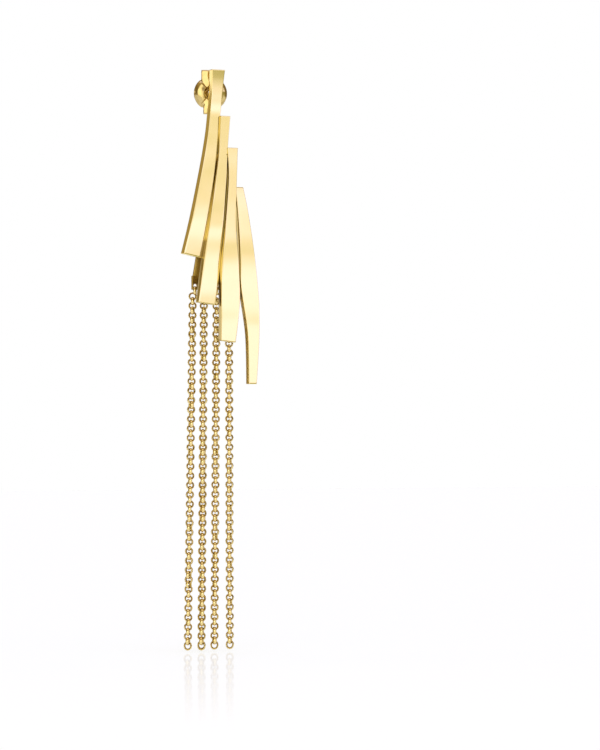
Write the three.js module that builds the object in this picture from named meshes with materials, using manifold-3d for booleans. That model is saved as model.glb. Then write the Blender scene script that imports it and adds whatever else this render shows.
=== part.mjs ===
// A long drop earring: four tapered blades in a leaning fan, a rear strap with a bridge, five fine chains,
// an ear post and a butterfly nut. Millimetres, +Z up, +Y from the face of the earring towards the ear.
// The origin is on the post's axis, where the post leaves the back of the first blade.
import * as THREE from "three";
import { mergeVertices } from "three/addons/utils/BufferGeometryUtils.js";
import Module from "manifold-3d";

const wasm = await Module();
wasm.setup();

// The fan's own frame: "across" runs along the blades' faces, "front" out of them, z up.
const FACE_TURN = THREE.MathUtils.degToRad(17); // the faces look a little to the wearer's side
const FACE_X = 0.6; // the first blade's middle beside the post
const FACE_Y = -1.2; // its front face ahead of the origin
const BLADE_THICKNESS = 1.3;
const CURVE_STEPS = 3; // straight pieces for each point of an edge or profile
const CUT_REACH = 20; // far enough for a cutting shape to pass through any piece

// The blades, from the first down to the fourth: each one's outline as its left and right edges' distance
// across, and its front face's height over the fan's plane, both against z. The first and last rows are
// the cut ends.
const BLADES = [
  {
    left: {
      z: [4.5, 0, -4.3, -10, -17.9, -24.7, -32.65],
      across: [-1.05, -1.2, -1.8, -3.0, -5.3, -7.35, -9.85],
    },
    right: {
      z: [4.5, 0, -4.3, -10, -17.9, -24.7, -33.5],
      across: [1.85, 1.2, 0.6, -0.45, -2.15, -3.6, -5.75],
    },
    front: {
      z: [4.6, 2, 0, -3, -8, -14, -20, -26, -33.6],
      height: [-0.3, -0.24, -0.06, 0.4, 1.26, 2.26, 3.16, 3.86, 4.5],
    },
  },
  {
    left: {
      z: [-4.8, -11.7, -17.8, -27.9, -35, -42.3],
      across: [0.3, -0.65, -2.0, -4.55, -6.25, -7.75],
    },
    right: {
      z: [-4.8, -11.7, -17.8, -27.9, -35, -42.8],
      across: [2.5, 1.3, 0.4, -1.35, -2.45, -4.0],
    },
    front: {
      z: [-4.7, -9, -14, -20, -26, -32, -38, -42.9],
      height: [1.2, 1.8, 2.63, 3.73, 4.67, 5.46, 6.18, 6.66],
    },
  },
  {
    left: {
      z: [-11.2, -17.7, -27.8, -35, -42, -49.85],
      across: [1.2, 0.8, -1.1, -2.5, -3.1, -3.7],
    },
    right: {
      z: [-11.2, -17.7, -27.8, -35, -42, -50.2],
      across: [3.55, 2.65, 1.4, 1.25, 1.05, -0.5],
    },
    front: {
      z: [-11.1, -16, -21, -26, -31, -36, -41, -46, -50.3],
      height: [2.3, 3.31, 4.36, 5.38, 6.25, 6.9, 7.46, 8.15, 8.69],
    },
  },
  {
    left: {
      z: [-19.1, -24.5, -33.3, -38.7, -45, -50, -58.4],
      across: [2.4, 2.3, 1.9, 1.6, 2.2, 2.4, 2.0],
    },
    right: {
      z: [-19.1, -24.5, -33.3, -41, -45, -50, -58.4],
      across: [4.2, 4.7, 5.15, 5.45, 5.3, 4.85, 3.7],
    },
    front: {
      z: [-19, -24, -29, -34, -39, -44, -50, -58.5],
      height: [3.6, 4.72, 5.7, 6.45, 7.07, 7.73, 8.55, 9.61],
    },
  },
];

// The bridge that carries the chains, and the strap that it hangs from behind the blades.
const BRIDGE_TURN = THREE.MathUtils.degToRad(10);
const BRIDGE = { x: 0.15, y: -0.95, top: -36.8, bottom: -39.6, length: 9.7, thickness: 0.6 };
const EYE_RADIUS = 0.42;
const EYE_STEPS = 8; // straight pieces in a half turn of an eye
const EYE_LAND = 0.35; // the metal left under each eye
const STRAP = { top: -12.5, bottom: -37.6, leftAtTop: -0.6, leftAtBottom: -4.5, width: 3, thickness: 0.7 };
const STRAP_Y_TOP = -2.9;
const STRAP_Y_BOTTOM = -1.5;

// Each chain hangs from an eye in the bridge: the eye's place, and its own at the top and at the bottom.
// The fifth chain hangs behind the second, from the same eye.
const CHAIN_DIAMETER = 1.65;
const CHAIN_TOP = -39.95;
const CHAIN_BOTTOM = -111.6;
const CHAIN_SIDES = 8;
const CHAIN_STEPS = 18;
const CHAINS = [
  { name: "chain_1", xEye: -3.95, xTop: -4.4, xBottom: -5.4, y: -1.7 },
  { name: "chain_2", xEye: -2.05, xTop: -2.2, xBottom: -2.7, y: -2.1 },
  { name: "chain_3", xEye: 0.65, xTop: 0.65, xBottom: 0.2, y: -0.75 },
  { name: "chain_4", xEye: 3.25, xTop: 3.25, xBottom: 3.45, y: -0.35 },
  { name: "chain_5", xEye: -2.05, xTop: -1.85, xBottom: -2.35, y: -0.4 },
];

const POST_RADIUS = 0.4;
const POST_START = -0.6; // inside the first blade
const POST_END = 10.4;
const POST_DOME = 0.24; // the rounded tip's length
const NOTCH = { y: 8.7, width: 0.5, depth: 0.1 };
const ROUND_SIDES = 24;

// The butterfly nut: a plate across the post, with a scroll rolled back from each side.
const NUT = { front: 1.0, sheet: 0.35, holeRadius: 0.65, outerRadius: 3.45 };
const TAB = { width: 4, top: 4.65, foot: 3.2, bottom: -4.3, corner: 0.6 };
const SCROLL = { radius: 1.3, from: -90, to: 205 };
const NUT_ROUND_SIDES = 40;

const GOLD = { color: 0xe8c468, roughness: 0.16, metalness: 1 };

// ---- joining and cutting ----

function solidOf(geometry) {
  const bare = geometry.clone();
  bare.deleteAttribute("normal");
  bare.deleteAttribute("uv");
  const merged = mergeVertices(bare, 1e-5);
  const mesh = new wasm.Mesh({
    numProp: 3,
    vertProperties: merged.attributes.position.array,
    triVerts: new Uint32Array(merged.index.array),
  });
  return new wasm.Manifold(mesh);
}

function geometryOf(solid) {
  const mesh = solid.getMesh();
  const geometry = new THREE.BufferGeometry();
  geometry.setAttribute("position", new THREE.BufferAttribute(mesh.vertProperties, 3));
  geometry.setIndex(new THREE.BufferAttribute(mesh.triVerts, 1));
  geometry.computeVertexNormals();
  return geometry;
}

function joined(solids) {
  return solids.reduce((whole, next) => whole.add(next));
}

// ---- shapes in the row frame ----

// A flat outline in x and z, thickened along y from yFront to yBack.
function plateInXZ(shape, yFront, yBack, curveSegments = CURVE_STEPS) {
  const geometry = new THREE.ExtrudeGeometry(shape, {
    depth: yBack - yFront,
    bevelEnabled: false,
    curveSegments,
  });
  geometry.rotateX(Math.PI / 2);
  geometry.translate(0, yBack, 0);
  return geometry;
}

// A flat outline in y and z, widened along x from xLeft to xRight.
function barAlongX(shape, xLeft, xRight) {
  const geometry = new THREE.ExtrudeGeometry(shape, {
    depth: xRight - xLeft,
    bevelEnabled: false,
    curveSegments: CURVE_STEPS,
  });
  const turn = new THREE.Matrix4().makeBasis(
    new THREE.Vector3(0, 1, 0),
    new THREE.Vector3(0, 0, 1),
    new THREE.Vector3(1, 0, 0),
  );
  geometry.applyMatrix4(turn);
  geometry.translate(xLeft, 0, 0);
  return geometry;
}

function points(xs, ys) {
  return xs.map((x, i) => new THREE.Vector2(x, ys[i]));
}

// A closed outline that runs down one edge and back up the other, each a smooth curve.
function outlineBetween(down, up) {
  const shape = new THREE.Shape();
  shape.moveTo(down[0].x, down[0].y);
  shape.splineThru(down.slice(1));
  shape.lineTo(up[0].x, up[0].y);
  shape.splineThru(up.slice(1));
  return shape;
}

// ---- the pieces ----

function blade({ left, right, front }) {
  const face = outlineBetween(
    points(left.across, left.z),
    points(right.across, right.z).reverse(),
  );
  const frontLine = points(front.height.map((h) => -h), front.z);
  const backLine = points(front.height.map((h) => BLADE_THICKNESS - h), front.z);
  const side = outlineBetween(frontLine, backLine.reverse());
  const cut = solidOf(plateInXZ(face, -CUT_REACH, CUT_REACH));
  const strip = solidOf(barAlongX(side, -CUT_REACH, CUT_REACH));
  return strip.intersect(cut);
}

function fanToRow(solid) {
  const degrees = THREE.MathUtils.radToDeg(FACE_TURN);
  return solid.rotate([0, 0, degrees]).translate([FACE_X, FACE_Y, 0]);
}

function bridge() {
  const { x, y, top, bottom, length, thickness } = BRIDGE;
  const shape = new THREE.Shape();
  shape.moveTo(-length / 2, bottom);
  shape.lineTo(length / 2, bottom);
  shape.lineTo(length / 2, top);
  shape.lineTo(-length / 2, top);
  for (const xEye of new Set(CHAINS.map((chain) => chain.xEye))) {
    const across = (xEye - x) / Math.cos(BRIDGE_TURN);
    const eye = new THREE.Path();
    eye.absarc(across, bottom + EYE_LAND + EYE_RADIUS, EYE_RADIUS, 0, 2 * Math.PI, true);
    shape.holes.push(eye);
  }
  const plate = plateInXZ(shape, -thickness / 2, thickness / 2, EYE_STEPS);
  return solidOf(plate.rotateZ(BRIDGE_TURN).translate(x, y, 0));
}

function strap() {
  const { top, bottom, leftAtTop, leftAtBottom, width, thickness } = STRAP;
  const shape = new THREE.Shape();
  shape.moveTo(leftAtTop, top);
  shape.lineTo(leftAtBottom, bottom);
  shape.lineTo(leftAtBottom + width, bottom);
  shape.lineTo(leftAtTop + width, top);
  const plate = plateInXZ(shape, -thickness / 2, thickness / 2);
  const lean = (STRAP_Y_BOTTOM - STRAP_Y_TOP) / (bottom - top);
  const shear = new THREE.Matrix4().set(1, 0, 0, 0, 0, 1, lean, 0, 0, 0, 1, 0, 0, 0, 0, 1);
  plate.translate(0, 0, -top);
  plate.applyMatrix4(shear);
  return solidOf(plate.translate(0, STRAP_Y_TOP, top));
}

function earPost() {
  const { y, width, depth } = NOTCH;
  const profile = [
    [0, POST_START],
    [POST_RADIUS, POST_START],
    [POST_RADIUS, y - width / 2],
    [POST_RADIUS - depth, y],
    [POST_RADIUS, y + width / 2],
    [POST_RADIUS, POST_END - POST_DOME],
    [POST_RADIUS * 0.75, POST_END - POST_DOME * 0.3],
    [0, POST_END],
  ].map(([radius, along]) => new THREE.Vector2(radius, along));
  return solidOf(new THREE.LatheGeometry(profile, ROUND_SIDES));
}

function solderedFan() {
  const blades = BLADES.map((row) => fanToRow(blade(row)));
  return joined([...blades, strap(), bridge(), earPost()]);
}

// The plate's upright strip: square-ended at the top, narrowing to its foot.
function nutPlate() {
  const { width, top, foot, bottom, corner } = TAB;
  const shape = new THREE.Shape();
  shape.absarc(width / 2 - corner, top - corner, corner, 0, Math.PI / 2, false);
  shape.absarc(corner - width / 2, top - corner, corner, Math.PI / 2, Math.PI, false);
  shape.absarc(corner - foot / 2, bottom + corner, corner, Math.PI, 1.5 * Math.PI, false);
  shape.absarc(foot / 2 - corner, bottom + corner, corner, 1.5 * Math.PI, 2 * Math.PI, false);
  return solidOf(plateInXZ(shape, NUT.front, NUT.front + NUT.sheet));
}

// One scroll, seen from above as an open ring that starts flush with the plate's front.
function scroll(side) {
  const { radius, from, to } = SCROLL;
  const [start, end] = [from, to].map(THREE.MathUtils.degToRad);
  const inner = radius - NUT.sheet;
  const shape = new THREE.Shape();
  shape.absarc(0, 0, radius, start, end, false);
  shape.absarc(0, 0, inner, end, start, true);
  const geometry = new THREE.ExtrudeGeometry(shape, {
    depth: 2 * NUT.outerRadius,
    bevelEnabled: false,
    curveSegments: NUT_ROUND_SIDES / 4,
  });
  geometry.translate(NUT.outerRadius - radius, NUT.front + radius, -NUT.outerRadius);
  const made = solidOf(geometry);
  return side < 0 ? made.mirror([1, 0, 0]) : made;
}

function earNut() {
  const { front, sheet, outerRadius, holeRadius } = NUT;
  const disc = new THREE.Shape().absarc(0, 0, outerRadius, 0, 2 * Math.PI, false);
  const hole = new THREE.Shape().absarc(0, 0, holeRadius, 0, 2 * Math.PI, false);
  const web = new THREE.Shape();
  const reach = outerRadius - SCROLL.radius;
  web.moveTo(-reach, -outerRadius);
  web.lineTo(reach, -outerRadius);
  web.lineTo(reach, outerRadius);
  web.lineTo(-reach, outerRadius);
  const discCut = solidOf(plateInXZ(disc, -CUT_REACH, CUT_REACH, NUT_ROUND_SIDES / 2));
  const holeCut = solidOf(plateInXZ(hole, -CUT_REACH, CUT_REACH, ROUND_SIDES / 2));
  const webPlate = solidOf(plateInXZ(web, front, front + sheet));
  const ears = joined([webPlate, scroll(1), scroll(-1)]).intersect(discCut);
  return joined([nutPlate(), ears]).subtract(holeCut);
}

function chainTube({ xTop, xBottom, y }) {
  const top = new THREE.Vector3(xTop, y, CHAIN_TOP);
  const bottom = new THREE.Vector3(xBottom, y, CHAIN_BOTTOM);
  const section = new THREE.Shape();
  for (let i = 0; i < CHAIN_SIDES; i += 1) {
    const angle = ((i + 0.5) / CHAIN_SIDES) * 2 * Math.PI;
    const corner = [Math.cos(angle), Math.sin(angle)].map((c) => (c * CHAIN_DIAMETER) / 2);
    if (i === 0) section.moveTo(...corner);
    else section.lineTo(...corner);
  }
  return new THREE.ExtrudeGeometry(section, {
    steps: CHAIN_STEPS,
    extrudePath: new THREE.LineCurve3(top, bottom),
    bevelEnabled: false,
  });
}

// ---- the scene graph ----

function goldMesh(name, geometry) {
  const mesh = new THREE.Mesh(geometry, new THREE.MeshStandardMaterial(GOLD));
  mesh.name = name;
  return mesh;
}

const earring = new THREE.Group();
earring.add(goldMesh("blade_fan", geometryOf(solderedFan())));
earring.add(goldMesh("ear_nut", geometryOf(earNut())));
for (const row of CHAINS) {
  earring.add(goldMesh(row.name, chainTube(row)));
}

export default earring;
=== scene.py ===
"""A long drop earring in polished gold: four tapered blades, a strap and a bridge behind them, five fine
chains of round links, an ear post and a butterfly nut. Metres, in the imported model's frame."""

import math
import random

import bmesh
import bpy
from mathutils import Matrix, Vector


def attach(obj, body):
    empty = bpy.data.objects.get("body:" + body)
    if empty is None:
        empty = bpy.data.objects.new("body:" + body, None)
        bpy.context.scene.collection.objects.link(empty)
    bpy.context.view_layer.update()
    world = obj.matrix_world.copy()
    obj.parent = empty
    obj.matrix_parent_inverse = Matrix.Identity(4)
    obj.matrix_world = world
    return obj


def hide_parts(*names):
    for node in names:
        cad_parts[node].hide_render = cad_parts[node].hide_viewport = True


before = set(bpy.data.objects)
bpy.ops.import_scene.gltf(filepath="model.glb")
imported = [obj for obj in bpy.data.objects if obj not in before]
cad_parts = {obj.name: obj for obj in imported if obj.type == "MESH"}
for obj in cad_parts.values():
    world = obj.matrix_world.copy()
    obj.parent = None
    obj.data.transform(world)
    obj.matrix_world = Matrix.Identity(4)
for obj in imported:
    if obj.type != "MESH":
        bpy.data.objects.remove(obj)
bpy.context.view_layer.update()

MM = 0.001
TURN = 2 * math.pi

# The blades in millimetres: the left and right edges' distance across the fan against z, how much painted
# shade darkens the left wall, the top and foot of its darkest stretch of painted shade, the front face's
# height over the fan's plane at its top, and how many degrees the face leans back, against z. The lean wavers
# a little down each blade, as a hand-filed and polished face does.
BLADES = {
    "blade_first": {
        "left": [
            (4.5, -1.05), (0, -1.2), (-4.3, -1.8), (-10, -3.0), (-17.9, -5.3), (-24.7, -7.35),
            (-32.65, -9.85),
        ],
        "right": [
            (4.5, 1.85), (0, 1.2), (-4.3, 0.6), (-10, -0.45), (-17.9, -2.15), (-24.7, -3.6),
            (-33.5, -5.75),
        ],
        "left_wall_shade": 0,
        "dark_slot": (0, 0),
        "top": 0.1,
        "lean": [
            (4.6, 0.2), (3.2, 0.6), (2.0, 1.6), (0.7, 2.2), (-1.4, 2.8), (-5.8, 9.4), (-8, 8.3),
            (-12.4, 10.6), (-15, 9.9), (-17.2, 8.6), (-21.4, 8.4), (-24.6, 7.8), (-27.4, 5.8), (-30, 4.6),
            (-33.6, 4.2),
        ],
    },
    "blade_second": {
        "left": [
            (-4.8, 0.3), (-11.7, -0.65), (-17.8, -2.0), (-27.9, -4.55), (-35, -6.25), (-42.3, -7.75),
        ],
        "right": [
            (-4.8, 2.5), (-11.7, 1.3), (-17.8, 0.4), (-27.9, -1.35), (-35, -2.45), (-42.8, -4.0),
        ],
        "left_wall_shade": 0.5,
        "dark_slot": (-29.3, -34.0),
        "top": 1.12,
        "lean": [
            (-4.7, 8.9), (-8, 8.7), (-12, 10.0), (-17, 9.7), (-21, 10.6), (-26.2, 8.6), (-28.2, 6.7),
            (-31, 8.5), (-34.8, 7.2), (-39, 6.5), (-41.5, 4.9), (-42.9, 4.6),
        ],
    },
    "blade_third": {
        "left": [
            (-11.2, 1.2), (-17.7, 0.8), (-27.8, -1.1), (-35, -2.5), (-42, -3.1), (-49.85, -3.7),
        ],
        "right": [
            (-11.2, 3.55), (-17.7, 2.65), (-27.8, 1.4), (-35, 1.25), (-42, 1.05), (-50.2, -0.5),
        ],
        "left_wall_shade": 0.5,
        "dark_slot": (-37.6, -43.0),
        "top": 2.3,
        "lean": [
            (-11.1, 10.6), (-13.4, 11.2), (-16.5, 10.6), (-20, 10.6), (-24, 11.7), (-28.8, 12.2),
            (-32, 9.6), (-36, 7.3), (-38, 6.2), (-41.5, 6.6), (-44.9, 8.5), (-47, 7.4), (-50.3, 6.7),
        ],
    },
    "blade_fourth": {
        "left": [
            (-19.1, 2.4), (-24.5, 2.3), (-33.3, 1.9), (-38.7, 1.6), (-45, 2.2), (-50, 2.4), (-58.4, 2.0),
        ],
        "right": [
            (-19.1, 4.2), (-24.5, 4.7), (-33.3, 5.15), (-41, 5.45), (-45, 5.3), (-50, 4.85), (-58.4, 3.7),
        ],
        "left_wall_shade": 0.4,
        "dark_slot": (-39.8, -41.8),
        "top": 3.35,
        "lean": [
            (-19, 14.4), (-21.5, 13.5), (-24.5, 12.6), (-28, 12.6), (-31, 10.8), (-33.4, 8.8),
            (-36.4, 7.6), (-38, 6.7), (-42, 7.4), (-45.8, 9.0), (-48, 7.5), (-50, 7.3), (-58.5, 6.8),
        ],
    },
}
BLADE_THICKNESS = 1.3
BLADE_STEPS = (10, 90)
EDGE_ROUND = 0.07
# Painted shade on the blades' side walls, for the shade between the blades: where it starts in the rounded
# front edge, as a share of the round, its strength on the walls, its strength at the foot of each slot, and
# how softly that stretch fades in and out.
UNSHADED_EDGE = 0.2
WALL_SHADE = 0.4
SLOT_SHADE = 0.92
SLOT_FADE = 0.9
FACE_TURN = math.radians(17)
FACE_PLACE = Vector((0.6, -1.2, 0))

BRIDGE = {
    "x": 0.15, "y": -0.95, "top": -36.8, "bottom": -39.6, "length": 9.7, "thickness": 0.6, "edge_round": 0.1,
}
BRIDGE_TURN = math.radians(10)
EYE_RADIUS = 0.42
EYE_LAND = 0.35
DRILL_SIDES = 24
DRILL_LENGTH = 3
STRAP = {
    "top": -12.5, "bottom": -37.6, "left_top": -0.6, "left_bottom": -4.5, "width": 3, "thickness": 0.7,
    "edge_round": 0.12,
}
STRAP_Y = (-2.9, -1.5)
STRAP_STEPS = (4, 40)

# Each chain: its eye's place in the bridge, its own place at the top and the bottom, and its depth.
CHAINS = {
    "chain_1": {"eye": -3.95, "top": -4.4, "bottom": -5.4, "y": -1.7, "seed": 3},
    "chain_2": {"eye": -2.05, "top": -2.2, "bottom": -2.7, "y": -2.1, "seed": 5},
    "chain_3": {"eye": 0.65, "top": 0.65, "bottom": 0.2, "y": -0.75, "seed": 8},
    "chain_4": {"eye": 3.25, "top": 3.25, "bottom": 3.45, "y": -0.35, "seed": 13},
    "chain_5": {"eye": -2.05, "top": -1.85, "bottom": -2.35, "y": -0.4, "seed": 21},
}
CHAIN_TOP = -40.92
CHAIN_BOTTOM = -111.6
CHAIN_LINKS = 75
END_LINK_STRETCH = 1.12
LINK_RADIUS = 0.67
WIRE_RADIUS = 0.2
WIRE_WIDENING = 1.6
EYE_RING_RADIUS = 0.72
# How far the painted shade on each ring's inside spreads either side of the wire's middle, as a share of the
# wire's radius.
WIRE_SHADE = 0.7
LINK_FACING = math.radians(-13)
LINK_STEPS = (12, 6)
EYE_RING_STEPS = (16, 6)

# How unevenly the links hang, in radians: a twist that wanders down the chain, and each link's own turn and
# lean.
TWIST_KEPT = 0.9
TWIST_STEP = 0.16
LINK_TURN = 0.12
LINK_LEAN = 0.1

POST = {
    "radius": 0.4, "start": -0.6, "end": 10.4, "tip": 0.3,
    "notch": 8.7, "notch_width": 0.5, "notch_depth": 0.1,
}
POST_STEPS = 32
NOTCH_STEPS = 8
TIP_STEPS = 6

# The nut: wraps are in degrees, and the scroll tightens by a share of its radius in each full turn.
NUT = {
    "front": 1.0, "sheet": 0.35, "slack": 0.03, "hole": 0.6, "outer": 3.45, "scroll": 1.3, "tightening": 0.2,
    "wrap": 285, "edge_roll": 0.4, "edge_wrap": 80, "edge_round": 0.05, "dimple": 0.42, "dimple_width": 1.0,
    # How far from the post the painted shade round it reaches, and over how far it fades out.
    "shade_reach": 1.7, "shade_fade": 0.8,
}
TAB = {"arch": 0.45, "half_width": 2.0, "top": 4.65, "foot_half_width": 1.6, "bottom": 4.3}
TAB_TO_WING = 0.07
WING_START = 0.5
WING_SPREAD = 0.45
WRAP_OF_WING = 60
NUT_STEPS = {"flat": 12, "roll": 20, "around": 144}
SHORTEST_EDGE = 0.004

VIEW_AZIMUTH = math.radians(-13)
CAMERA_PLACE = (-0.1294, -0.6383, -0.0566)
LENS = 156
SENSOR = 36
CLIP = (0.01, 10)
FLOOR = -0.1119
FLOOR_REACH = 0.9
FLOOR_STEPS = (24, 48)
FLOOR_GLOSS = 0.21
FLOOR_GLOSS_FADE = (-0.15, -0.02)


# ---- curves ----


def along(rows, t):
    """The point at share t along a smooth curve through the rows."""
    last = len(rows) - 1
    place = t * last
    i = min(int(place), last - 1)
    w = place - i
    p0, p1, p2, p3 = (Vector(rows[min(max(k, 0), last)]) for k in (i - 1, i, i + 1, i + 2))
    v0, v1 = (p2 - p0) / 2, (p3 - p1) / 2
    return (2 * p1 - 2 * p2 + v0 + v1) * w**3 + (3 * p2 - 3 * p1 - 2 * v0 - v1) * w**2 + v0 * w + p1


def face_heights(top, lean, step=0.1):
    """The face's height against z, every tenth of a millimetre down the blade, added up from its lean."""
    rows, height, z = [], top, lean[0][0]
    while z > lean[-1][0] - 2 * step:
        rows.append((z, height))
        height += step * math.tan(math.radians(lean_at(z, lean)))
        z -= step
    return rows


def lean_at(z, lean):
    for (z_up, up), (z_down, down) in zip(lean, lean[1:]):
        if z >= z_down:
            return mix(up, down, smooth((z_up - z) / (z_up - z_down)))
    return lean[-1][1]


def height_at(z, rows):
    step = rows[0][0] - rows[1][0]
    place = min(max((rows[0][0] - z) / step, 0), len(rows) - 1.001)
    i = int(place)
    return mix(rows[i][1], rows[i + 1][1], place - i)


def edge_across(rows, z):
    """How far across the fan an edge is at z."""
    for (z_up, up), (z_down, down) in zip(rows, rows[1:]):
        if z >= z_down:
            return mix(up, down, (z_up - z) / (z_up - z_down))
    return rows[-1][1]


def mix(a, b, t):
    return a + (b - a) * t


def smooth(t):
    t = min(max(t, 0), 1)
    return t * t * (3 - 2 * t)


# ---- mesh work ----


def piece_from(name, bm, body, nodes, material, sharp=35):
    """A finished piece, in metres, from a mesh worked in millimetres."""
    bmesh.ops.remove_doubles(bm, verts=bm.verts, dist=1e-5)
    bmesh.ops.recalc_face_normals(bm, faces=bm.faces)
    bmesh.ops.scale(bm, verts=bm.verts, vec=(MM, MM, MM))
    mesh = bpy.data.meshes.new(name)
    bm.to_mesh(mesh)
    bm.free()
    mesh.polygons.foreach_set("use_smooth", [True] * len(mesh.polygons))
    mesh.set_sharp_from_angle(angle=math.radians(sharp))
    mesh.materials.append(material)
    piece = bpy.data.objects.new(name, mesh)
    bpy.context.scene.collection.objects.link(piece)
    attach(piece, body)
    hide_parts(*nodes)


def round_edges(bm, offset, segments=3, least=35):
    edges = [e for e in bm.edges if e.is_manifold and e.calc_face_angle(0) > math.radians(least)]
    bmesh.ops.bevel(
        bm, geom=edges, offset=offset, offset_type="OFFSET", affect="EDGES",
        segments=segments, profile=0.5, material=-1, clamp_overlap=True,
    )


def sheet_grid(steps_across, steps_down, place):
    """A grid whose corners go where place(u, v) says, each share from 0 to 1."""
    bm = bmesh.new()
    bmesh.ops.create_grid(bm, x_segments=steps_across, y_segments=steps_down, size=0.5)
    for vert in bm.verts:
        vert.co = place(vert.co.x + 0.5, vert.co.y + 0.5)
    return bm


def thicken(bm, push):
    """Gives an open sheet a thickness along one direction."""
    grown = bmesh.ops.extrude_face_region(bm, geom=bm.faces[:])
    verts = [g for g in grown["geom"] if isinstance(g, bmesh.types.BMVert)]
    bmesh.ops.translate(bm, verts=verts, vec=push)


def turned_profile(profile, steps):
    """A closed shape turned round the Y axis from (radius, y) rows that start and end on the axis."""
    bm = bmesh.new()
    rows = [bm.verts.new((radius, y, 0)) for radius, y in profile]
    edges = [bm.edges.new(pair) for pair in zip(rows, rows[1:])]
    bmesh.ops.spin(
        bm, geom=rows + edges, cent=(0, 0, 0), axis=(0, 1, 0), angle=TURN, steps=steps, use_merge=True,
    )
    bmesh.ops.remove_doubles(bm, verts=bm.verts, dist=1e-4)
    return bm


# ---- the soldered fan ----


def blade(name, rows, material):
    """One blade. Its side walls are darkened with painted shade, for the shade and dark reflections between
    the blades, and darkest at the foot of the slot beside it.
    """
    across_way = Vector((math.cos(FACE_TURN), math.sin(FACE_TURN), 0))
    front_way = Vector((math.sin(FACE_TURN), -math.cos(FACE_TURN), 0))

    heights = face_heights(rows["top"], rows["lean"])

    def face_point(u, v):
        (z_left, left), (z_right, right) = along(rows["left"], v), along(rows["right"], v)
        z, across = mix(z_left, z_right, u), mix(left, right, u)
        height = height_at(z, heights)
        return FACE_PLACE + across_way * across + front_way * height + Vector((0, 0, z))

    bm = sheet_grid(*BLADE_STEPS, face_point)
    thicken(bm, -front_way * BLADE_THICKNESS)
    round_edges(bm, EDGE_ROUND)
    # Painted shade: each point darkens with its depth behind the front edge. The left wall, facing the next
    # blade, has its own strength, which is strongest in the slot's stretch.
    painted_shade = bm.verts.layers.float.new("painted_shade")
    for vert in bm.verts:
        place = vert.co - FACE_PLACE
        z, depth = place.z, height_at(place.z, heights) - place.dot(front_way)
        middle = (edge_across(rows["left"], z) + edge_across(rows["right"], z)) / 2
        shade_here = WALL_SHADE
        if place.dot(across_way) < middle:
            slot_top, slot_foot = rows["dark_slot"]
            in_slot = smooth((slot_top - z) / SLOT_FADE) * smooth((z - slot_foot) / SLOT_FADE)
            shade_here = mix(rows["left_wall_shade"], SLOT_SHADE, in_slot)
        vert[painted_shade] = shade_here * smooth(depth / EDGE_ROUND - UNSHADED_EDGE)
    piece_from(name, bm, "earring", ["blade_fan"], material)


def back_strap(material):
    def strap_point(u, v):
        z = mix(STRAP["top"], STRAP["bottom"], v)
        left = mix(STRAP["left_top"], STRAP["left_bottom"], v)
        return Vector((left + u * STRAP["width"], mix(*STRAP_Y, v) - STRAP["thickness"] / 2, z))

    bm = sheet_grid(*STRAP_STEPS, strap_point)
    thicken(bm, (0, STRAP["thickness"], 0))
    round_edges(bm, STRAP["edge_round"])
    piece_from("back_strap", bm, "earring", ["blade_fan"], material)


def chain_bridge(material):
    """A flat bar with a round eye for each chain, turned a little to the fan's side."""
    half, thickness = BRIDGE["length"] / 2, BRIDGE["thickness"]
    bm = bmesh.new()
    bmesh.ops.create_cube(bm, size=1)
    for vert in bm.verts:
        height = BRIDGE["top"] if vert.co.z > 0 else BRIDGE["bottom"]
        vert.co = (vert.co.x * 2 * half, vert.co.y * thickness, height)
    round_edges(bm, BRIDGE["edge_round"])
    bar = bpy.data.meshes.new("bridge_bar")
    bm.to_mesh(bar)
    bm.free()
    drills = bmesh.new()
    for eye in sorted({row["eye"] for row in CHAINS.values()}):
        across = (eye - BRIDGE["x"]) / math.cos(BRIDGE_TURN)
        place = Matrix.Translation((across, 0, BRIDGE["bottom"] + EYE_LAND + EYE_RADIUS))
        bmesh.ops.create_cone(
            drills, cap_ends=True, segments=DRILL_SIDES,
            radius1=EYE_RADIUS, radius2=EYE_RADIUS, depth=DRILL_LENGTH,
            matrix=place @ Matrix.Rotation(math.pi / 2, 4, "X"),
        )
    drill_mesh = bpy.data.meshes.new("eye_drills")
    drills.to_mesh(drill_mesh)
    drills.free()
    work = bpy.data.objects.new("bridge_work", bar)
    tool = bpy.data.objects.new("eye_tool", drill_mesh)
    for obj in (work, tool):
        bpy.context.scene.collection.objects.link(obj)
    cut = work.modifiers.new("eyes", "BOOLEAN")
    cut.operation, cut.object, cut.solver = "DIFFERENCE", tool, "EXACT"
    bpy.context.view_layer.update()
    drilled = bmesh.new()
    drilled.from_object(work, bpy.context.evaluated_depsgraph_get())
    for obj in (work, tool):
        bpy.data.objects.remove(obj)
    turned = Matrix.Rotation(BRIDGE_TURN, 3, "Z")
    bmesh.ops.rotate(drilled, verts=drilled.verts, cent=(0, 0, 0), matrix=turned)
    bmesh.ops.translate(drilled, verts=drilled.verts, vec=(BRIDGE["x"], BRIDGE["y"], 0))
    piece_from("chain_bridge", drilled, "earring", ["blade_fan"], material)


def ear_post(material):
    radius, end, tip, notch = POST["radius"], POST["end"], POST["tip"], POST["notch"]
    half = POST["notch_width"] / 2
    profile = [(0, POST["start"]), (radius, POST["start"]), (radius, notch - half)]
    for k in range(1, NOTCH_STEPS):
        t = k / NOTCH_STEPS
        profile.append((radius - POST["notch_depth"] * math.sin(math.pi * t), notch - half + 2 * half * t))
    profile += [(radius, notch + half), (radius, end - tip)]
    for k in range(1, TIP_STEPS):
        turn = k / TIP_STEPS * math.pi / 2
        profile.append((radius * math.cos(turn), end - tip + tip * math.sin(turn)))
    profile.append((0, end))
    bm = turned_profile(profile, POST_STEPS)
    piece_from("ear_post", bm, "earring", ["blade_fan"], material)


# ---- the butterfly nut ----


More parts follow.
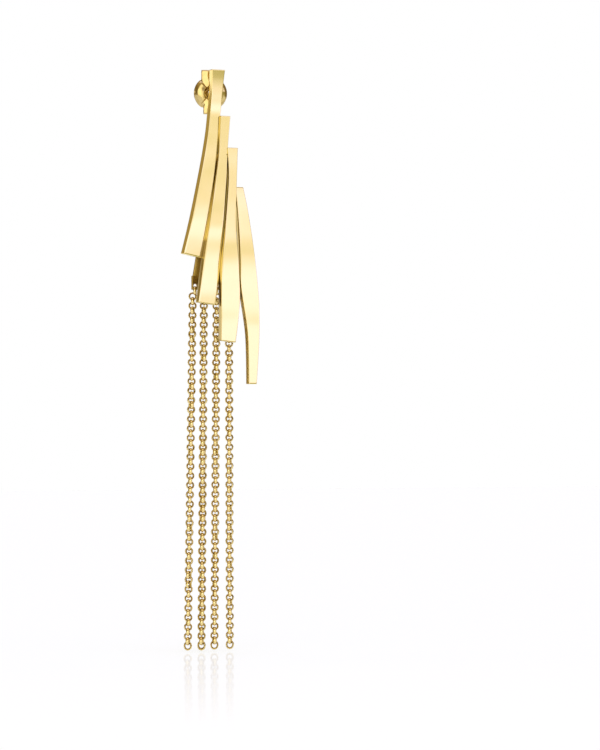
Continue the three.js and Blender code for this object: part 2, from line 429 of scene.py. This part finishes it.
def nut_reach(turn):
    """How far the sheet lies flat, the radius of its roll and how far it wraps, at a turn round the post."""
    x, z = abs(math.cos(turn)), abs(math.sin(turn))
    half_width, end = TAB["foot_half_width"], TAB["bottom"]
    if math.sin(turn) > 0:
        half_width, end = TAB["half_width"], TAB["top"]
    tab_reach = min(half_width / max(x, 1e-6), end / max(z, 1e-6)) - NUT["edge_roll"]
    wing = smooth((x - half_width / NUT["outer"]) / TAB_TO_WING)
    wrap = max(NUT["wrap"] * smooth((x - WING_START) / WING_SPREAD), NUT["edge_wrap"])
    return (
        mix(tab_reach, NUT["outer"] - NUT["scroll"], wing),
        mix(NUT["edge_roll"], NUT["scroll"], wing),
        math.radians(mix(NUT["edge_wrap"], wrap, wing)),
    )


def wing_share(wrap):
    """0 where the sheet is a tab and 1 where it is a wing, from how far it rolls."""
    return smooth((math.degrees(wrap) - NUT["edge_wrap"]) / WRAP_OF_WING)


def nut_point(k, turn):
    """The sheet's point k steps out from the hole: first flat, then rolled back."""
    reach, radius, wrap = nut_reach(turn)
    flat_steps, roll_steps = NUT_STEPS["flat"], NUT_STEPS["roll"]
    flat = mix(NUT["hole"], reach, min(k / flat_steps, 1))
    arch = TAB["arch"] * (1 - wing_share(wrap)) * (flat * math.cos(turn) / TAB["half_width"]) ** 2
    if k <= flat_steps:
        out, back = flat, 0
        dimple = NUT["dimple"] * (1 - smooth((out - NUT["hole"]) / NUT["dimple_width"]))
    else:
        rolled = wrap * (k - flat_steps) / roll_steps
        tight = radius * (1 - NUT["tightening"] * rolled / TURN)
        out, back = reach + tight * math.sin(rolled), radius - tight * math.cos(rolled) - (radius - tight)
        dimple = 0
    depth = NUT["front"] + NUT["slack"] + back + dimple + arch
    return Vector((out * math.cos(turn), depth, out * math.sin(turn)))


def butterfly_nut(material):
    """One sheet round the hole: a dimple at the post, a tab up and down, a wing rolled back at each side."""
    bm = bmesh.new()
    turn_of = bm.verts.layers.float.new("turn")
    for vert in bmesh.ops.create_circle(bm, segments=NUT_STEPS["around"], radius=1)["verts"]:
        vert[turn_of] = math.atan2(vert.co.y, vert.co.x)
        vert.co = nut_point(0, vert[turn_of])
    edges = bm.edges[:]
    for k in range(1, NUT_STEPS["flat"] + NUT_STEPS["roll"] + 1):
        grown = bmesh.ops.extrude_edge_only(bm, edges=edges)["geom"]
        edges = [g for g in grown if isinstance(g, bmesh.types.BMEdge)]
        for vert in (g for g in grown if isinstance(g, bmesh.types.BMVert)):
            vert.co = nut_point(k, vert[turn_of])
    bmesh.ops.recalc_face_normals(bm, faces=bm.faces)
    if bm.faces[0].normal.y > 0:
        bmesh.ops.reverse_faces(bm, faces=bm.faces)
    bmesh.ops.solidify(bm, geom=bm.faces[:], thickness=NUT["sheet"])
    bmesh.ops.dissolve_degenerate(bm, dist=SHORTEST_EDGE, edges=bm.edges)
    round_edges(bm, NUT["edge_round"], segments=2, least=75)
    bmesh.ops.dissolve_degenerate(bm, dist=SHORTEST_EDGE, edges=bm.edges)
    # Painted shade round the post, where the blade in front shades the nut and its dimple: full near the
    # hole, fading out further away.
    painted_shade = bm.verts.layers.float.new("painted_shade")
    for vert in bm.verts:
        out = math.hypot(vert.co.x, vert.co.z)
        vert[painted_shade] = smooth((NUT["shade_reach"] - out) / NUT["shade_fade"])
    piece_from("butterfly_nut", bm, "ear_nut", ["ear_nut"], material)


# ---- the chains ----


def ring_of_wire(radius, wire, steps, sides):
    """A closed ring in the XZ plane: its wire swept once round the Y axis, and darkened with painted shade on
    its inside, where the next link hangs.
    """
    bm = bmesh.new()
    made = bmesh.ops.create_circle(bm, segments=sides, radius=wire)["verts"]
    bmesh.ops.scale(bm, verts=made, vec=(1, WIRE_WIDENING, 1))
    bmesh.ops.translate(bm, verts=made, vec=(radius, 0, 0))
    bmesh.ops.spin(
        bm, geom=bm.verts[:] + bm.edges[:], cent=(0, 0, 0), axis=(0, 1, 0),
        angle=TURN, steps=steps, use_merge=True,
    )
    bmesh.ops.remove_doubles(bm, verts=bm.verts, dist=1e-4)
    bmesh.ops.recalc_face_normals(bm, faces=bm.faces)
    # Painted shade: darkest on the ring's inside, where the next link hangs, fading out towards its outside.
    painted_shade = bm.verts.layers.float.new("painted_shade")
    for vert in bm.verts:
        out = math.hypot(vert.co.x, vert.co.z)
        vert[painted_shade] = smooth((radius + WIRE_SHADE * wire - out) / (2 * WIRE_SHADE * wire))
    mesh = bpy.data.meshes.new("ring")
    bm.to_mesh(mesh)
    bm.free()
    return mesh


def add_ring(bm, ring, place):
    before = len(bm.verts)
    bm.from_mesh(ring)
    bm.verts.ensure_lookup_table()
    bmesh.ops.transform(bm, matrix=place, verts=bm.verts[before:])


def link_chain(node, row, link, eye_ring, material):
    """Round links hung one in the next from a ring in the bridge's eye, every second one turned a quarter."""
    hand = random.Random(row["seed"])
    bm = bmesh.new()
    eye_z = BRIDGE["bottom"] + EYE_LAND - EYE_RING_RADIUS + WIRE_RADIUS
    eye_place = Matrix.Translation((row["eye"], row["y"], eye_z))
    add_ring(bm, eye_ring, eye_place @ Matrix.Rotation(LINK_FACING + math.pi / 2, 4, "Z"))
    bottom = CHAIN_BOTTOM + (LINK_RADIUS + WIRE_RADIUS) * END_LINK_STRETCH
    twist = 0
    for k in range(CHAIN_LINKS):
        share = k / (CHAIN_LINKS - 1)
        place = Vector((mix(row["top"], row["bottom"], share), row["y"], mix(CHAIN_TOP, bottom, share)))
        twist = TWIST_KEPT * twist + hand.uniform(-TWIST_STEP, TWIST_STEP)
        quarter = math.pi / 2 * (k % 2)
        turn = LINK_FACING + quarter + twist + hand.uniform(-LINK_TURN, LINK_TURN)
        lean = hand.uniform(-LINK_LEAN, LINK_LEAN)
        stretch = Matrix.Diagonal((1, 1, END_LINK_STRETCH if k == CHAIN_LINKS - 1 else 1, 1))
        matrix = Matrix.Translation(place) @ Matrix.Rotation(turn, 4, "Z") @ Matrix.Rotation(lean, 4, "Y")
        add_ring(bm, link, matrix @ stretch)
    piece_from(f"{node}_links", bm, "earring", [node], material, sharp=80)


# ---- the golds ----


class Value:
    """A shader socket that adds its own maths nodes."""

    def __init__(self, nodes, links, socket):
        self.nodes, self.links, self.socket = nodes, links, socket

    def _maths(self, operation, first, second):
        node = self.nodes.new("ShaderNodeMath")
        node.operation = operation
        for socket, value in zip(node.inputs, (first, second)):
            if isinstance(value, Value):
                self.links.new(value.socket, socket)
            else:
                socket.default_value = value
        return Value(self.nodes, self.links, node.outputs[0])

    def __add__(self, other):
        return self._maths("ADD", self, other)

    __radd__ = __add__

    def __mul__(self, other):
        return self._maths("MULTIPLY", self, other)

    __rmul__ = __mul__


class Finish:
    """A finish's shader: its nodes are added by kind, settings and inputs."""

    def __init__(self, holder):
        self.holder = holder
        holder.use_nodes = True
        self.nodes, self.links = holder.node_tree.nodes, holder.node_tree.links
        self.nodes.clear()
        self.object_place = self.add("ShaderNodeTexCoord", output="Object")

    def add(self, kind, settings=(), output=0, **inputs):
        node = self.nodes.new(kind)
        for key, value in dict(settings).items():
            setattr(node, key, value)
        for key, value in inputs.items():
            socket = node.inputs[int(key[1:]) if key[0] == "_" else key.replace("_", " ")]
            if isinstance(value, Value):
                self.links.new(value.socket, socket)
            else:
                socket.default_value = value
        return Value(self.nodes, self.links, node.outputs[output]) if node.outputs else None

    def axes(self):
        """The place in the piece as three values."""
        split = self.nodes.new("ShaderNodeSeparateXYZ")
        self.links.new(self.object_place.socket, split.inputs[0])
        return [Value(self.nodes, self.links, socket) for socket in split.outputs]

    def smooth_step(self, amount, start, full, most=1):
        """Rises smoothly from 0 at start to the most at full."""
        return self.add(
            "ShaderNodeMapRange", {"interpolation_type": "SMOOTHSTEP"},
            Value=amount, From_Min=start, From_Max=full, To_Max=most,
        )

    def noise(self, per_metre, detail=2.0):
        return self.add(
            "ShaderNodeTexNoise", Vector=self.object_place, Scale=per_metre, Detail=detail, Roughness=0.5,
        )

    def painted(self, name):
        """A value that the mesh carries at its points."""
        return self.add("ShaderNodeAttribute", {"attribute_name": name}, output=2)

    def blend(self, share, first, second):
        return self.add("ShaderNodeMix", {"data_type": "RGBA"}, output=2, _0=share, _6=first, _7=second)

    def ramp(self, share, stops):
        node = self.nodes.new("ShaderNodeValToRGB")
        self.links.new(share.socket, node.inputs[0])
        elements = node.color_ramp.elements
        for element, (place, color) in zip([elements[0], elements[1]], (stops[0], stops[-1])):
            element.position, element.color = place, color
        for place, color in stops[1:-1]:
            elements.new(place).color = color
        return Value(self.nodes, self.links, node.outputs[0])

    def metal(self, color, roughness, normal):
        shader = self.add(
            "ShaderNodeBsdfPrincipled", Base_Color=color, Roughness=roughness, Normal=normal, Metallic=1.0,
        )
        self.add("ShaderNodeOutputMaterial", Surface=shader)
        return self.holder


def polished_gold():
    """Hand-polished yellow gold: fine wavering scratches, soft patches of wear and a slightly varied tint."""
    gold = Finish(bpy.data.materials.new("polished_gold"))
    patches = gold.noise(220)
    grain = gold.noise(2600, detail=4)
    unshaded = gold.blend(patches, (0.93, 0.775, 0.33, 1), (0.96, 0.81, 0.385, 1))
    # Painted shade: the colour darkens towards a deep brown by the share of shade that each point of the mesh
    # carries.
    color = gold.blend(gold.painted("painted_shade"), unshaded, (0.08, 0.04, 0.01, 1))
    roughness = 0.09 + 0.04 * patches + 0.04 * grain
    waves = gold.add("ShaderNodeBump", Strength=0.5, Distance=0.0001, Height=gold.noise(140, detail=0))
    bump = gold.add("ShaderNodeBump", Strength=0.05, Distance=0.00002, Height=grain, Normal=waves)
    return gold.metal(color, roughness, bump)


def stamped_gold():
    """The nut's sheet, stamped and rolled: small dents and drag marks from the tools, and a duller tint."""
    gold = Finish(bpy.data.materials.new("stamped_gold"))
    dents, grain = gold.noise(520, detail=0), gold.noise(4000, detail=3)
    unshaded = gold.blend(gold.noise(700), (0.5, 0.36, 0.11, 1), (0.86, 0.7, 0.33, 1))
    # Painted shade round the post: the colour darkens by the share of shade that each point of the nut
    # carries.
    color = gold.blend(gold.painted("painted_shade"), unshaded, (0.34, 0.24, 0.1, 1))
    roughness = 0.12 + 0.1 * grain
    pressed = gold.add("ShaderNodeBump", Strength=0.8, Distance=0.0003, Height=dents)
    bump = gold.add("ShaderNodeBump", Strength=0.04, Distance=0.00002, Height=grain, Normal=pressed)
    return gold.metal(color, roughness, bump)


def satin_gold_painted_shade():
    """The pieces behind the blades, brushed rather than polished: duller in gloss, with fine upright strokes,
    and a colour darkened with painted shade for the shadow of the blades in front.
    """
    gold = Finish(bpy.data.materials.new("satin_gold_painted_shade"))
    strokes_place = gold.add("ShaderNodeMapping", Vector=gold.object_place, Scale=(9000, 9000, 500))
    strokes = gold.add("ShaderNodeTexNoise", Vector=strokes_place, Scale=1.0, Detail=3.0)
    # Painted shade: a far darker gold than the polished blades, standing in for the shadow the blades cast on
    # these pieces.
    color = gold.blend(gold.noise(300), (0.4, 0.27, 0.06, 1), (0.52, 0.36, 0.1, 1))
    roughness = 0.28 + 0.12 * strokes
    bump = gold.add("ShaderNodeBump", Strength=0.25, Distance=0.00002, Height=strokes)
    return gold.metal(color, roughness, bump)


def chain_gold():
    """The links' wire: the same gold, drawn and tumbled, darkened with painted shade on the inside of each
    ring, where the links hang in each other.
    """
    gold = Finish(bpy.data.materials.new("chain_gold"))
    tint = gold.noise(900)
    grain = gold.noise(5200, detail=3)
    unshaded = gold.blend(tint, (0.9, 0.72, 0.3, 1), (0.97, 0.82, 0.42, 1))
    # Painted shade: the colour darkens by the share of shade that each point of the rings carries.
    color = gold.blend(gold.painted("painted_shade"), unshaded, (0.44, 0.32, 0.08, 1))
    roughness = 0.07 + 0.06 * grain
    bump = gold.add("ShaderNodeBump", Strength=0.1, Distance=0.00001, Height=grain)
    return gold.metal(color, roughness, bump)


# ---- the studio ----


def staged_plane(name, material, place):
    bm = sheet_grid(*FLOOR_STEPS, place)
    mesh = bpy.data.meshes.new(name)
    bm.to_mesh(mesh)
    bm.free()
    mesh.polygons.foreach_set("use_smooth", [True] * len(mesh.polygons))
    mesh.materials.append(material)
    obj = bpy.data.objects.new(name, mesh)
    bpy.context.scene.collection.objects.link(obj)


def pale_floor():
    """Matt white with a faint gloss over it that fades away in front of the earring."""
    floor = Finish(bpy.data.materials.new("pale_floor"))
    matt = floor.add("ShaderNodeBsdfDiffuse", Color=(0.45, 0.49, 0.52, 1))
    glow = floor.add("ShaderNodeEmission", Color=(0.97, 0.985, 1, 1), Strength=0.73)
    gloss = floor.add("ShaderNodeBsdfAnisotropic", Color=(0.93, 0.96, 1, 1), Roughness=0.05)
    white = floor.add("ShaderNodeAddShader", _0=matt, _1=glow)
    _, nearness, _ = floor.axes()
    share = floor.smooth_step(nearness, *FLOOR_GLOSS_FADE, FLOOR_GLOSS)
    shader = floor.add("ShaderNodeMixShader", _0=share, _1=white, _2=gloss)
    floor.add("ShaderNodeOutputMaterial", Surface=shader)
    return floor.holder


def studio_floor():
    def floor_point(u, v):
        return Vector((mix(-FLOOR_REACH, FLOOR_REACH, u), mix(-FLOOR_REACH, FLOOR_REACH, v), FLOOR))

    staged_plane("studio_floor", pale_floor(), floor_point)


# The studio all round, as brightness against the sine of the height: the large soft panels that the
# blades' faces look into, the one in front, the one at the side, and the darker room behind the earring.
PANEL = [
    (-1, 0.6), (-0.1, 0.5), (0.06, 0.38), (0.1, 0.5), (0.15, 1.0), (0.2, 1.4), (0.26, 1.4), (0.3, 1.05),
    (0.34, 0.92), (0.38, 1.05), (0.42, 1.3), (0.47, 1.3), (0.54, 1.05), (0.7, 0.8), (1, 1.3),
]
FRONT = [(-1, 0.3), (-0.65, 0.3), (-0.5, 1.8), (0.5, 1.8), (0.65, 0.4), (1, 1.2)]
SIDE = [(-1, 0.5), (0.03, 0.4), (0.08, 1.2), (0.14, 1.2), (0.2, 0.42), (1, 0.4)]
ROOM = [(-1, 0.4), (-0.1, 0.25), (0.2, 0.22), (0.5, 0.28), (0.8, 0.6), (1, 1.3)]
BRIGHT_TINT = (1.0, 0.93, 1.42)
DIM_TINT = (1.0, 0.94, 0.4)
FRONT_TINT = (1.0, 0.95, 0.85)
SIDE_TINT = (1.0, 0.96, 0.95)
ROOM_TINT = (1.0, 0.74, 0.3)
PANEL_WAY = (0.73, -0.68)
FRONT_WAY = (-0.36, -0.93)
SIDE_WAY = (-0.73, 0.68)
WALL_WAY = (0.22, 0.97)

# Where each panel's soft edge starts and where it is full, as the cosine of the angle from its middle.
PANEL_EDGE = (0.76, 0.9)
FRONT_EDGE = (0.78, 0.9)
SIDE_EDGE = (0.86, 0.96)
WALL_EDGE = (0.955, 0.975)

# The white wall fades out just under the horizon, as the sine of the height.
WALL_FOOT = (-0.02, 0)
BRIGHTEST = 2.0

# The brightness up to which light has its dim tint, and how much more of it gives the bright tint.
TINT_START = 0.55
TINT_SPREAD = 0.9


def studio_light(level, dim_tint, bright_tint):
    """A light level as a colour: the dimmer it is, the warmer."""
    share = smooth((level - TINT_START) / TINT_SPREAD)
    tint = (mix(dim, bright, share) for dim, bright in zip(dim_tint, bright_tint))
    return tuple(part * level / BRIGHTEST for part in tint) + (1,)


def studio_world():
    world = bpy.data.worlds.new("studio")
    bpy.context.scene.world = world
    sky = Finish(world)
    x, y, z = sky.axes()

    def levels(rows, dim_tint=DIM_TINT, bright_tint=BRIGHT_TINT):
        stops = [((sine + 1) / 2, studio_light(level, dim_tint, bright_tint)) for sine, level in rows]
        return sky.ramp(z * 0.5 + 0.5, stops)

    def towards(way, edge):
        return sky.smooth_step(x * way[0] + y * way[1], *edge)

    white = (1 / BRIGHTEST, 1 / BRIGHTEST, 1 / BRIGHTEST, 1)
    room, side = levels(ROOM, ROOM_TINT), levels(SIDE, ROOM_TINT, SIDE_TINT)
    behind = sky.blend(towards(SIDE_WAY, SIDE_EDGE), room, side)
    beside = sky.blend(towards(PANEL_WAY, PANEL_EDGE), behind, levels(PANEL))
    before = sky.blend(towards(FRONT_WAY, FRONT_EDGE), beside, levels(FRONT, DIM_TINT, FRONT_TINT))
    wall = towards(WALL_WAY, WALL_EDGE) * sky.smooth_step(z, *WALL_FOOT)
    round_about = sky.blend(wall, before, white)
    seen = sky.add("ShaderNodeLightPath", output="Is Camera Ray")
    color = sky.blend(seen, round_about, white)
    background = sky.add("ShaderNodeBackground", Color=color, Strength=BRIGHTEST)
    sky.add("ShaderNodeOutputWorld", Surface=background)


def studio_camera():
    lens = bpy.data.cameras.new("camera")
    lens.lens, lens.sensor_width = LENS, SENSOR
    lens.clip_start, lens.clip_end = CLIP
    camera = bpy.data.objects.new("camera", lens)
    camera.location, camera.rotation_euler = CAMERA_PLACE, (math.pi / 2, 0, VIEW_AZIMUTH)
    bpy.context.scene.collection.objects.link(camera)
    bpy.context.scene.camera = camera
    bpy.context.scene.view_settings.view_transform = "Standard"


studio_camera()
studio_world()
studio_floor()

gold = polished_gold()
for blade_name, blade_rows in BLADES.items():
    blade(blade_name, blade_rows, gold)
shaded_satin = satin_gold_painted_shade()
back_strap(shaded_satin)
chain_bridge(shaded_satin)
ear_post(gold)
butterfly_nut(stamped_gold())

wire = chain_gold()
link = ring_of_wire(LINK_RADIUS, WIRE_RADIUS, *LINK_STEPS)
eye_ring = ring_of_wire(EYE_RING_RADIUS, WIRE_RADIUS, *EYE_RING_STEPS)
for chain_node, chain_row in CHAINS.items():
    link_chain(chain_node, chain_row, link, eye_ring, wire)
